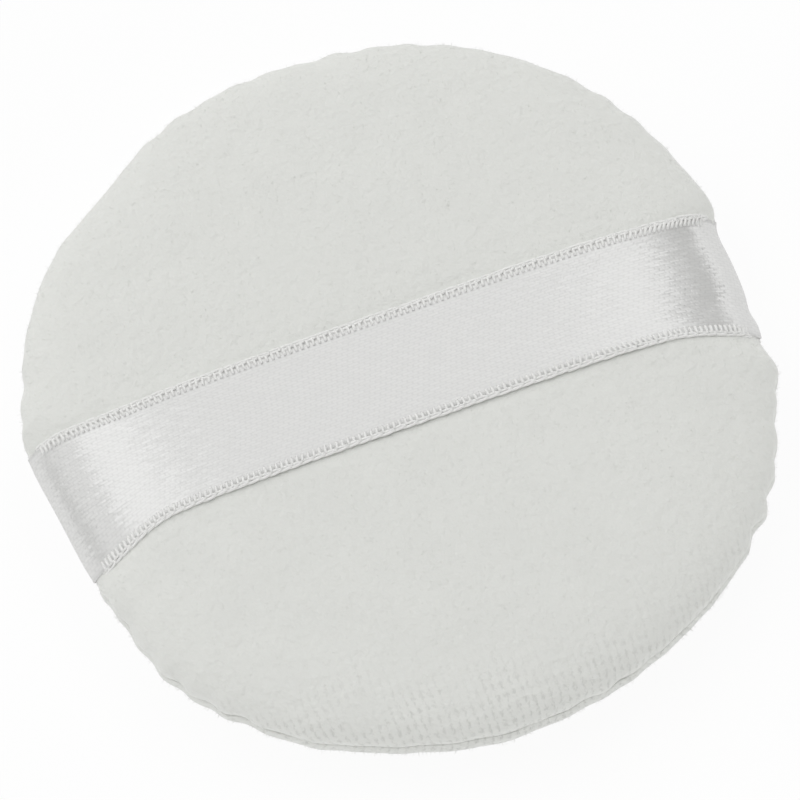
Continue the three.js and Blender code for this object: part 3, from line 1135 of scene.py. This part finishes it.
def camera_axes():
    a, e, roll = CAMERA_AZIMUTH, CAMERA_ELEVATION, CAMERA_ROLL
    back = Vector((math.sin(a) * math.cos(e), -math.cos(a) * math.cos(e), math.sin(e)))
    level = Vector((math.cos(a), math.sin(a), 0))
    upright = back.cross(level)
    right = level * math.cos(roll) - upright * math.sin(roll)
    up = level * math.sin(roll) + upright * math.cos(roll)
    return right, up, back


def add_at(name, data, axes, place):
    """Add a camera or a light that looks against the last of its axes."""
    item = bpy.data.objects.new(name, data)
    item.matrix_world = Matrix.Translation(place) @ Matrix(axes).transposed().to_4x4()
    bpy.context.scene.collection.objects.link(item)
    return item


def add_camera():
    right, up, back = camera_axes()
    data = bpy.data.cameras.new("camera")
    data.sensor_width = SENSOR_WIDTH
    data.lens = PIXELS_PER_METRE * CAMERA_DISTANCE * SENSOR_WIDTH / FRAME_PIXELS
    data.clip_start, data.clip_end = CLIP_RANGE
    off_right = (FRAME_PIXELS / 2 - AIM_PIXEL[0]) / PIXELS_PER_METRE
    off_up = (AIM_PIXEL[1] - FRAME_PIXELS / 2) / PIXELS_PER_METRE
    aim = AIM + right * off_right + up * off_up
    return add_at("camera", data, (right, up, back), aim + back * CAMERA_DISTANCE)


def add_lights():
    for name, (direction, distance, width, extent, power) in LIGHTS.items():
        light = bpy.data.lights.new(name, "AREA")
        light.shape = "RECTANGLE"
        light.size, light.size_y, light.energy = width, extent, power
        away = Vector(direction).normalized()
        across = Vector((0, 1, 0)).cross(away).normalized()
        add_at(name, light, (across, away.cross(across), away), away * distance)


def studio_world():
    """Light from the studio's walls and ceiling: a dark zone lies between the sweep and the sky."""
    world = bpy.data.worlds.new("studio")
    add = node_adder(world)
    toward = add("TexCoord").outputs["Generated"]
    aside = add("SeparateXYZ", {0: toward})
    horizon = add(
        "MapRange",
        {"Value": aside.outputs["Y"], "From Min": -0.7, "From Max": -0.25,
         "To Min": NEAR_HORIZON_LIGHT, "To Max": HORIZON_LIGHT},
        interpolation_type="SMOOTHSTEP",
    )
    height = add("VectorMath", {0: toward, 1: (-0.09, 0, 1)}, operation="DOT_PRODUCT")
    backwards = add("VectorMath", {0: toward, 1: (-0.3, 0.95, 0)}, operation="DOT_PRODUCT")
    sky = add(
        "MapRange",
        {"Value": backwards, "From Min": -1, "From Max": 1, "To Min": NEAR_SKY_LIGHT,
         "To Max": FAR_SKY_LIGHT},
    )
    level = SWEEP_LIGHT
    for heights, above in ((SWEEP_HEIGHTS, horizon), (SKY_HEIGHTS, sky)):
        level = add(
            "MapRange",
            {"Value": height, "From Min": heights[0], "From Max": heights[1], "To Min": level,
             "To Max": above},
            interpolation_type="SMOOTHSTEP",
        )
    background = add("Background", {"Color": (1, 1, 1, 1), "Strength": level})
    add("OutputWorld", {"Surface": background})
    return world


def add_piece(piece, material, slot, *nodes):
    """Give a piece its material and its body, and hide the nodes that it stands for. Its slot is not
    used.
    """
    piece.data.materials.append(material)
    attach(piece, "root")
    if nodes:
        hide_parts(*nodes)


class PUFF_OT_stage(bpy.types.Operator):
    """Add the camera, the soft lights and the pale floor"""

    bl_idname = "puff.stage"
    bl_label = "Stage"

    def execute(self, context):
        scene = context.scene
        scene.camera = add_camera()
        scene.view_settings.view_transform = "Standard"
        add_lights()
        scene.world = studio_world()
        bpy.ops.object.select_all(action="DESELECT")
        bpy.ops.mesh.primitive_plane_add(size=FLOOR_SIZE)
        floor = context.active_object
        floor.name = "floor"
        floor.data.materials.append(new_material("matt_studio_floor", floor_nodes))
        return {"FINISHED"}


class PUFF_OT_covers(bpy.types.Operator):
    """Add the two velour covers, each turned in at the seam"""

    bl_idname = "puff.covers"
    bl_label = "Covers"

    def execute(self, context):
        pad = context.scene.puff_pad
        cloth = context.scene.puff_cloth
        for name, side, rise, flat in (
            ("upper_cover", 1, UPPER_RISE, UPPER_RISE),
            ("lower_cover", -1, pad.lower_drop, SEAM_HEIGHT),
        ):
            piece, reach = cover_mesh(f"velour_{name}", pad, side, rise, flat)
            velour = new_material("knitted_cotton_velour", velour_nodes, reach)
            add_piece(piece, velour, "velour", name)
            seed = 20 if side > 0 else 30
            fibres = fibres_mesh(f"{name}_loose_pile", piece, reach, pad, cloth, seed)
            add_piece(fibres, new_material("cotton_fibres", fibre_nodes), "velour")
        return {"FINISHED"}


class PUFF_OT_sponge(bpy.types.Operator):
    """Add the sponge that fills the covers"""

    bl_idname = "puff.sponge"
    bl_label = "Sponge"

    def execute(self, context):
        piece = sponge_mesh("sponge", context.scene.puff_pad, context.scene.puff_stitch)
        foam = new_material("polyurethane_foam", foam_nodes)
        add_piece(piece, foam, "sponge", "foam_core")
        return {"FINISHED"}


class PUFF_OT_ribbon(bpy.types.Operator):
    """Add the satin ribbon with a looped selvedge on each side"""

    bl_idname = "puff.ribbon"
    bl_label = "Ribbon"

    def execute(self, context):
        scene = context.scene
        ribbon = scene.puff_ribbon
        path = RibbonPath(ribbon, scene.puff_pad)
        piece = ribbon_mesh("satin_ribbon", path, ribbon)
        satin = new_material("polyester_satin", satin_nodes, path.total, ribbon.width)
        add_piece(piece, satin, "satin_ribbon", "ribbon_handle")
        yarn = new_material("textured_polyester_yarn", yarn_nodes, scene.puff_colours.yarn, 0.5)
        for name, sign, seed in (("selvedge_far", 1, 40), ("selvedge_near", -1, 50)):
            edge = selvedge_mesh(name, path, ribbon, sign, seed)
            add_piece(edge, yarn, "satin_ribbon")
        return {"FINISHED"}


class PUFF_OT_seam(bpy.types.Operator):
    """Add the overlock threads of the rim seam and the thread that closes the cover"""

    bl_idname = "puff.seam"
    bl_label = "Seam threads"

    def execute(self, context):
        pad, stitch = context.scene.puff_pad, context.scene.puff_stitch
        white = context.scene.puff_colours.thread
        thread = new_material("spun_polyester_thread", yarn_nodes, white, 0.8)
        closing_first = stitch.count // 4 - stitch.closing // 2
        first = closing_first + stitch.closing
        count = stitch.count - stitch.closing
        level = needle_level(pad, stitch)
        lines = {
            "needle_thread": running_stitch(first, count, level, stitch, pad),
            "upper_looper_thread": looper_stitch(first, count, 1, stitch, pad),
            "lower_looper_thread": looper_stitch(first, count, -1, stitch, pad),
            "closing_thread": running_stitch(
                closing_first, stitch.closing, looper_level(pad, stitch), stitch, pad
            ),
        }
        for node, line in lines.items():
            piece = plied_thread(f"plied_{node}", line, stitch.thread)
            add_piece(piece, thread, "sewing_thread", node)
        return {"FINISHED"}


class PUFF_PT_panel(bpy.types.Panel):
    """Lists the steps that build the puff, and its sizes and colours"""

    bl_idname = "PUFF_PT_panel"
    bl_label = "Powder puff"
    bl_space_type = "VIEW_3D"
    bl_region_type = "UI"
    bl_category = "Powder puff"

    def draw(self, context):
        for step in STEPS:
            self.layout.operator(step.bl_idname)
        for group in GROUPS:
            box = self.layout.box()
            settings = getattr(context.scene, group)
            for name in settings.bl_rna.properties.keys():
                if name not in ("rna_type", "name"):
                    box.prop(settings, name)


GROUPS = {
    "puff_pad": PadSizes,
    "puff_stitch": StitchSizes,
    "puff_ribbon": RibbonSizes,
    "puff_cloth": ClothSizes,
    "puff_colours": PuffColours,
}
STEPS = (PUFF_OT_stage, PUFF_OT_sponge, PUFF_OT_covers, PUFF_OT_ribbon, PUFF_OT_seam)
CLASSES = (*GROUPS.values(), *STEPS, PUFF_PT_panel)


def register():
    for item in CLASSES:
        bpy.utils.register_class(item)
    for name, group in GROUPS.items():
        setattr(bpy.types.Scene, name, bpy.props.PointerProperty(type=group))


def unregister():
    for name in GROUPS:
        delattr(bpy.types.Scene, name)
    for item in reversed(CLASSES):
        bpy.utils.unregister_class(item)


def main():
    register()
    bpy.ops.puff.stage()
    bpy.ops.puff.sponge()
    bpy.ops.puff.covers()
    bpy.ops.puff.ribbon()
    bpy.ops.puff.seam()


if __name__ == "__main__":
    main()
